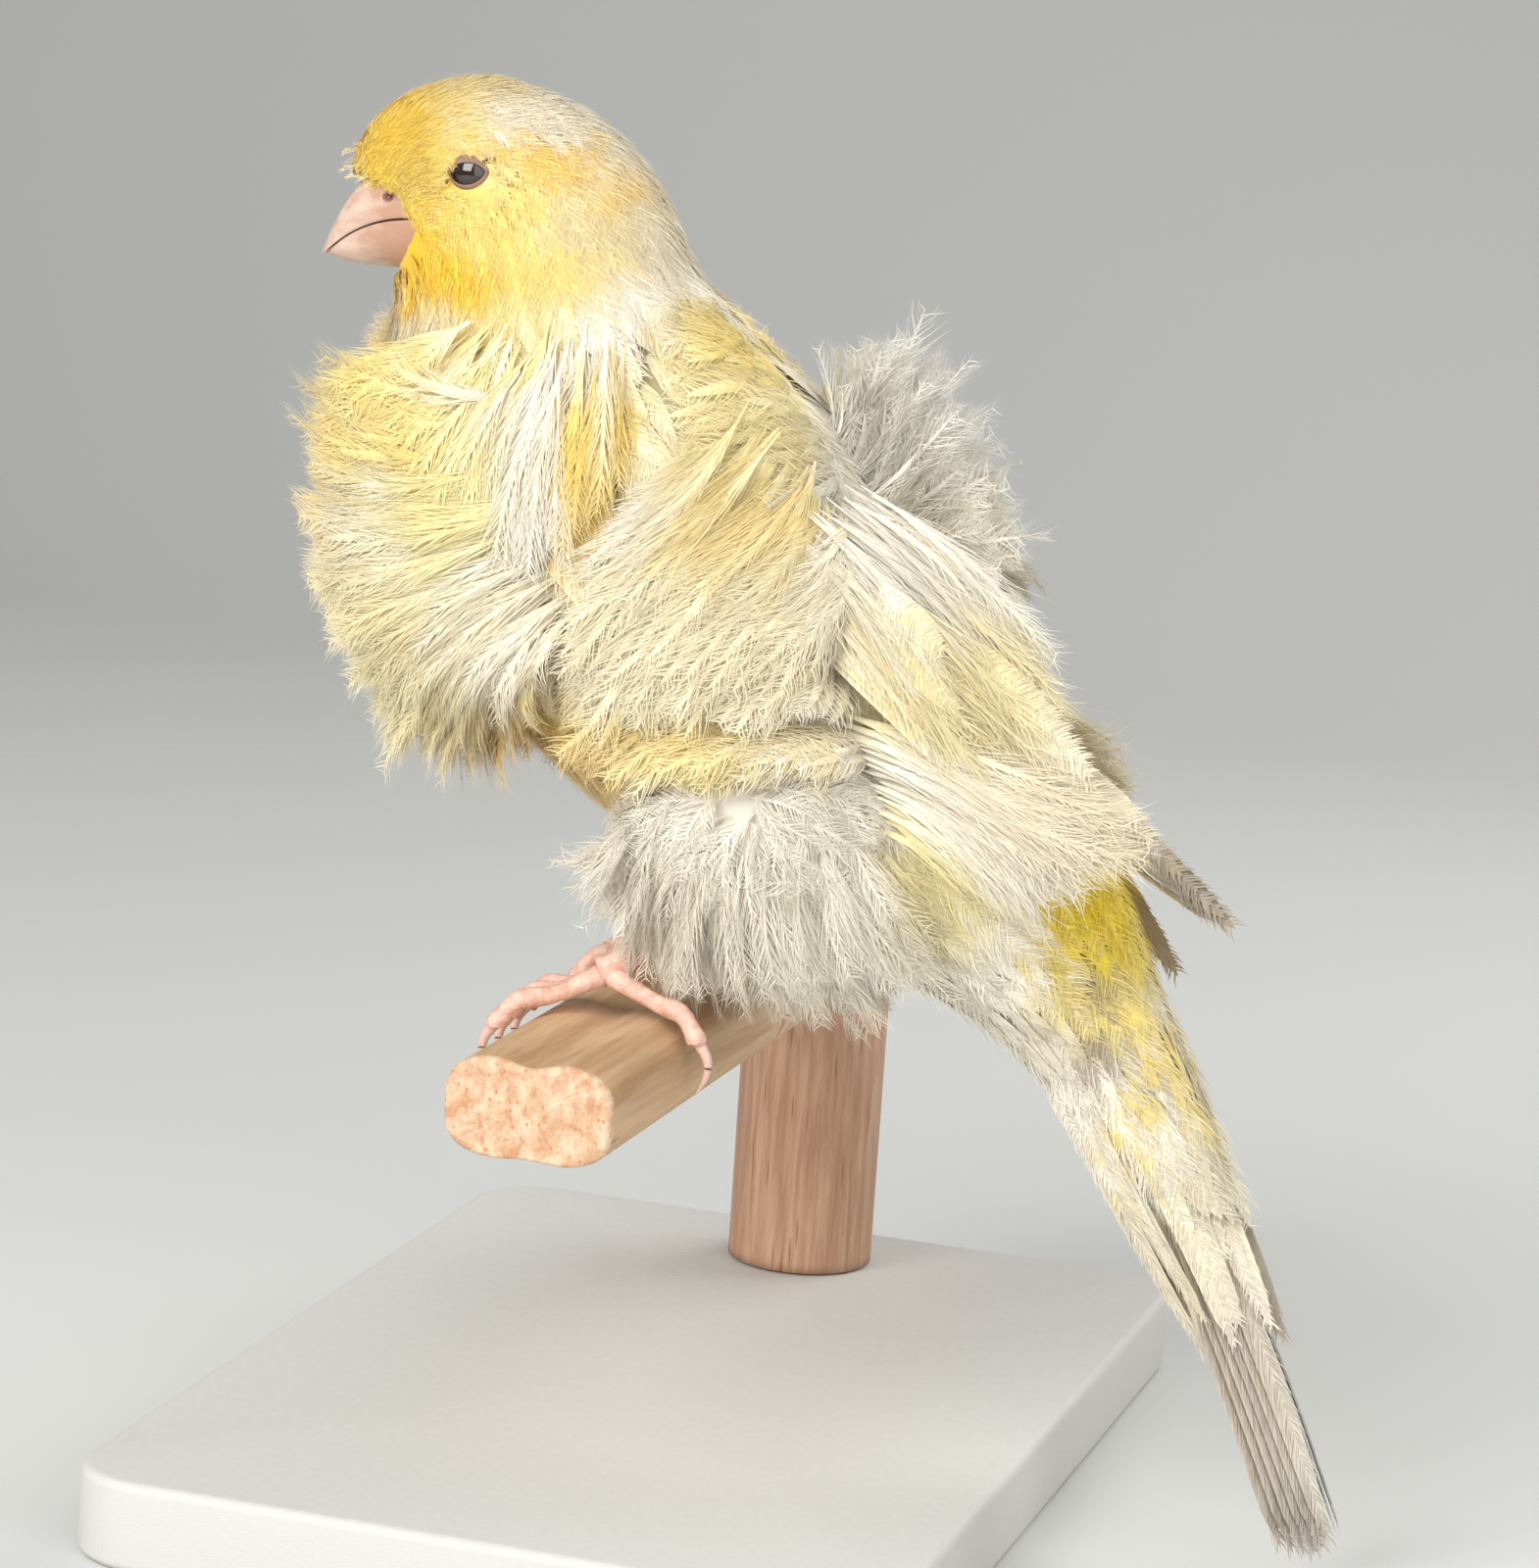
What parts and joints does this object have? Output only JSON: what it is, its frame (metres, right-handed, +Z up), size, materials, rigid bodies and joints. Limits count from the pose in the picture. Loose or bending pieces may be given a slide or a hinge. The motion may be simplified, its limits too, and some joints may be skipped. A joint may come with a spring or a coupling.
{
  "type": "frilled canary museum model on a stand",
  "caption": "Life-size still model of a frilled canary gripping a short cut length of perch, held over a flat plate by one round post.",
  "frame": {"origin": "centre of the plate's underside, on the surface that the stand rests on", "axes": "+Z up; the bird looks along -X and its left side faces -Y; the perch runs along Y"},
  "size_m": [0.1177, 0.124, 0.1427],
  "materials": {
    "perch_wood": "turned and sanded, unvarnished, light brown, sawn ends",
    "post_wood": "fine pinkish brown grain, matt",
    "base_board": "pale matt paint",
    "foot_skin": "pinkish flesh with small scales",
    "claw_horn": "pale pinkish horn",
    "eye": "wet dark brown, nearly black",
    "bill_horn": "pale pinkish horn, smooth, satin",
    "gold_plumage": "short golden yellow feathers",
    "cream_plumage": "long curled creamy yellow feathers",
    "white_plumage": "soft loose white feathers",
    "grey_plumage": "long narrow vanes, cream to grey beige"
  },
  "bodies": {
    "root": {"perch": "perch_wood", "stand_post": "post_wood", "stand_base": "base_board", "tarsus_left": "foot_skin", "toe_inner_left": "foot_skin", "toe_middle_left": "foot_skin", "toe_outer_left": "foot_skin", "toe_back_left": "foot_skin", "claw_inner_left": "claw_horn", "claw_middle_left": "claw_horn", "claw_outer_left": "claw_horn", "claw_back_left": "claw_horn", "tarsus_right": "foot_skin", "toe_inner_right": "foot_skin", "toe_middle_right": "foot_skin", "toe_outer_right": "foot_skin", "toe_back_right": "foot_skin", "claw_inner_right": "claw_horn", "claw_middle_right": "claw_horn", "claw_outer_right": "claw_horn", "claw_back_right": "claw_horn", "eye_left": "eye", "eye_right": "eye", "bill_upper": "bill_horn", "bill_lower": "bill_horn", "head": "gold_plumage", "neck": "cream_plumage", "mantle": "cream_plumage", "flank_left": "cream_plumage", "flank_right": "cream_plumage", "breast": "cream_plumage", "wing_left": "grey_plumage", "wing_right": "grey_plumage", "thigh_left": "white_plumage", "thigh_right": "white_plumage", "belly": "white_plumage", "rump": "gold_plumage", "tail": "grey_plumage"}
  },
  "joints": []
}
